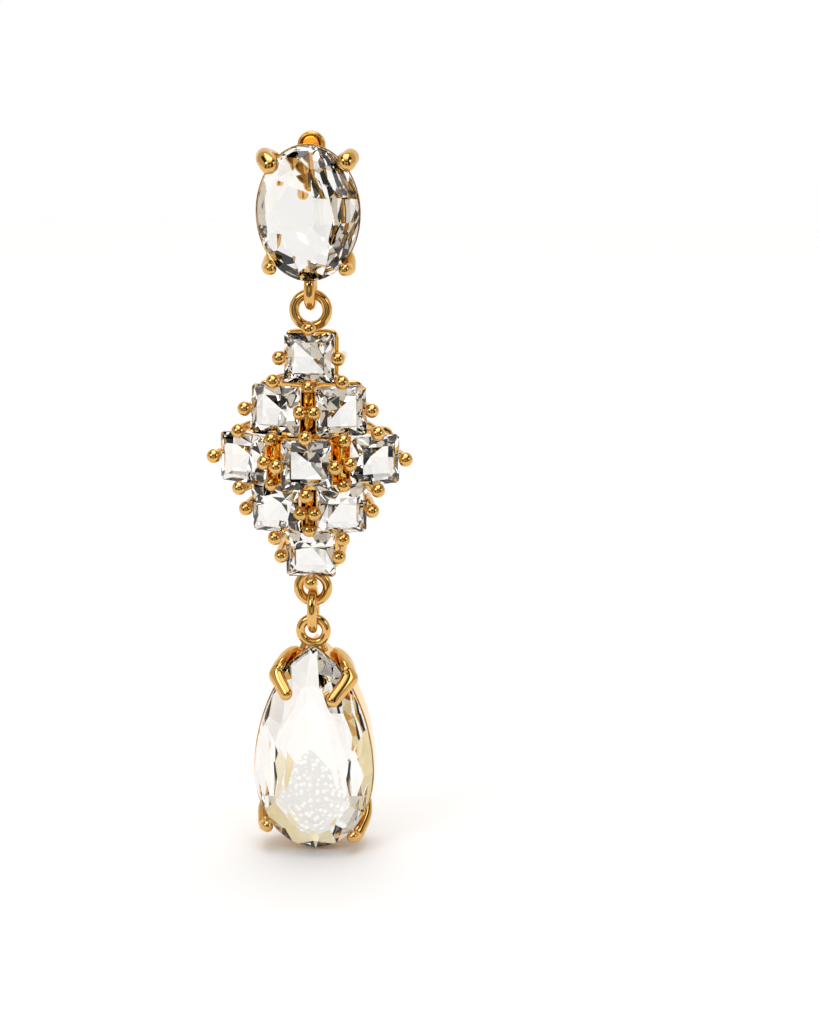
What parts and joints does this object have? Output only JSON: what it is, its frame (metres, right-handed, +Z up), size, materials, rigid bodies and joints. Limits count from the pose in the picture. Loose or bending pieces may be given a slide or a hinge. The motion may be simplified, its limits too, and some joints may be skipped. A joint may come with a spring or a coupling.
{
  "type": "chandelier earring",
  "caption": "Long drop earring: an oval cut stone at the ear, a raised diamond of square stones below it, and a hanging pear stone, in gold claw settings.",
  "frame": {"origin": "underside of the ear hook's crown, where the pierced lobe carries the earring", "axes": "+Z up along the earring as it hangs, -Y towards its front, +X to the right seen from the front"},
  "size_m": [0.0169, 0.0147, 0.0614],
  "materials": {
    "gold": "polished gold plating",
    "crystal": "clear cut glass"
  },
  "bodies": {
    "top": {"ear_hook": "gold", "oval_setting": "gold", "oval_stone": "crystal"},
    "cluster": {"cluster_frame": "gold", "square_stone_1": "crystal", "square_stone_2": "crystal", "square_stone_3": "crystal", "square_stone_4": "crystal", "square_stone_5": "crystal", "square_stone_6": "crystal", "square_stone_7": "crystal", "square_stone_8": "crystal", "square_stone_9": "crystal"},
    "link": {"jump_ring": "gold"},
    "pear": {"pear_setting": "gold", "pear_stone": "crystal"}
  },
  "joints": [
    {"name": "cluster_swing", "type": "hinge", "parent": "top", "child": "cluster", "pos_m": [0, -0.00476, -0.01257], "axis": [0, 1, 0], "range_deg": [-60, 60]},
    {"name": "link_swing", "type": "hinge", "parent": "cluster", "child": "link", "pos_m": [0, -0.00476, -0.038], "axis": [1, 0, 0], "range_deg": [-45, 45]},
    {"name": "pear_swing", "type": "hinge", "parent": "link", "child": "pear", "pos_m": [0, -0.00476, -0.04038], "axis": [0, 1, 0], "range_deg": [-45, 45]}
  ]
}
